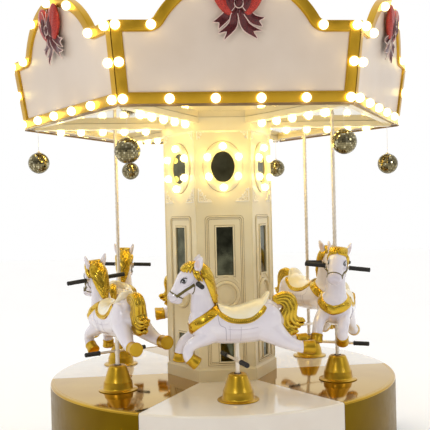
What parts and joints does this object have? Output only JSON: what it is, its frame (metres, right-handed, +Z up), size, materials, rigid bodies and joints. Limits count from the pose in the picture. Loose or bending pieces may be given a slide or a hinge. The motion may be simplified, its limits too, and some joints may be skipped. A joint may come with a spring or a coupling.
{
  "type": "fairground carousel",
  "caption": "Small indoor carousel: galloping horses on lifting poles round a mirrored column, on a turning deck under a lit six-sided canopy.",
  "frame": {"origin": "middle of the plinth's underside, on the floor under the turning axis", "axes": "+Z up along the turning axis, -Y towards the front board, +X to the right seen from the front"},
  "size_m": [2.6318, 2.409, 2.709],
  "materials": {
    "plinth_grey": "satin",
    "deck_white": "gloss",
    "deck_gold": "gloss",
    "gold_lacquer": "gloss",
    "cream_moulding": "satin",
    "board_white": "satin",
    "mirror": "polished",
    "bow_red": "glitter",
    "horse_lacquer": "gloss",
    "polished_steel": "polished",
    "bulb_glass": "frosted",
    "bridle_bronze": "satin",
    "black_grip": "matte"
  },
  "bodies": {
    "base": {"base_plinth": "plinth_grey"},
    "turntable": {"drum_sector_front": "deck_white", "drum_sector_front_right": "deck_gold", "drum_sector_back_right": "deck_white", "drum_sector_back": "deck_gold", "drum_sector_back_left": "deck_white", "drum_sector_front_left": "deck_gold", "bell_front": "gold_lacquer", "bell_front_right": "gold_lacquer", "bell_back_right": "gold_lacquer", "bell_back": "gold_lacquer", "bell_back_left": "gold_lacquer", "bell_front_left": "gold_lacquer", "column": "cream_moulding", "canopy_frame": "cream_moulding", "ceiling_mirror": "mirror", "roof": "cream_moulding", "rounding_board_front": "board_white", "rounding_board_front_right": "board_white", "rounding_board_back_right": "board_white", "rounding_board_back": "board_white", "rounding_board_back_left": "board_white", "rounding_board_front_left": "board_white", "bow_front": "bow_red", "bow_front_right": "bow_red", "bow_back_right": "bow_red", "bow_back": "bow_red", "bow_back_left": "bow_red", "bow_front_left": "bow_red"},
    "rider_front": {"horse_front": "horse_lacquer", "pole_front": "polished_steel", "handlebar_front": "black_grip"},
    "rider_front_right": {"horse_front_right": "horse_lacquer", "pole_front_right": "polished_steel", "handlebar_front_right": "black_grip"},
    "rider_back_right": {"horse_back_right": "horse_lacquer", "pole_back_right": "polished_steel", "handlebar_back_right": "black_grip"},
    "rider_back": {"horse_back": "horse_lacquer", "pole_back": "polished_steel", "handlebar_back": "black_grip"},
    "rider_back_left": {"horse_back_left": "horse_lacquer", "pole_back_left": "polished_steel", "handlebar_back_left": "black_grip"},
    "rider_front_left": {"horse_front_left": "horse_lacquer", "pole_front_left": "polished_steel", "handlebar_front_left": "black_grip"},
    "ball_front_right": {"mirror_ball_front_right": "mirror"},
    "ball_right": {"mirror_ball_right": "mirror"},
    "ball_back_right": {"mirror_ball_back_right": "mirror"},
    "ball_back_left": {"mirror_ball_back_left": "mirror"},
    "ball_left": {"mirror_ball_left": "mirror"},
    "ball_front_left": {"mirror_ball_front_left": "mirror"}
  },
  "joints": [
    {"name": "turntable_spin", "type": "hinge", "parent": "base", "child": "turntable", "pos_m": [0, 0, 0.03], "axis": [0, 0, 1], "continuous": true},
    {"name": "lift_front", "type": "slide", "parent": "turntable", "child": "rider_front", "axis": [0, 0, 1], "range_m": [-0.05, 0.05]},
    {"name": "lift_front_right", "type": "slide", "parent": "turntable", "child": "rider_front_right", "axis": [0, 0, 1], "range_m": [-0.05, 0.05]},
    {"name": "lift_back_right", "type": "slide", "parent": "turntable", "child": "rider_back_right", "axis": [0, 0, 1], "range_m": [-0.05, 0.05]},
    {"name": "lift_back", "type": "slide", "parent": "turntable", "child": "rider_back", "axis": [0, 0, 1], "range_m": [-0.05, 0.05]},
    {"name": "lift_back_left", "type": "slide", "parent": "turntable", "child": "rider_back_left", "axis": [0, 0, 1], "range_m": [-0.05, 0.05]},
    {"name": "lift_front_left", "type": "slide", "parent": "turntable", "child": "rider_front_left", "axis": [0, 0, 1], "range_m": [-0.05, 0.05]},
    {"name": "ball_swing_front_right", "type": "hinge", "parent": "turntable", "child": "ball_front_right", "pos_m": [0.5825, -1.00892, 2.0077], "axis": [-0.866, -0.5, 0], "range_deg": [-20, 20]},
    {"name": "ball_swing_right", "type": "hinge", "parent": "turntable", "child": "ball_right", "pos_m": [1.165, 0, 2.0077], "axis": [0, -1, 0], "range_deg": [-20, 20]},
    {"name": "ball_swing_back_right", "type": "hinge", "parent": "turntable", "child": "ball_back_right", "pos_m": [0.5825, 1.00892, 2.0077], "axis": [0.866, -0.5, 0], "range_deg": [-20, 20]},
    {"name": "ball_swing_back_left", "type": "hinge", "parent": "turntable", "child": "ball_back_left", "pos_m": [-0.5825, 1.00892, 2.0077], "axis": [0.866, 0.5, 0], "range_deg": [-20, 20]},
    {"name": "ball_swing_left", "type": "hinge", "parent": "turntable", "child": "ball_left", "pos_m": [-1.165, 0, 2.0077], "axis": [0, 1, 0], "range_deg": [-20, 20]},
    {"name": "ball_swing_front_left", "type": "hinge", "parent": "turntable", "child": "ball_front_left", "pos_m": [-0.5825, -1.00892, 2.0077], "axis": [-0.866, 0.5, 0], "range_deg": [-20, 20]}
  ]
}
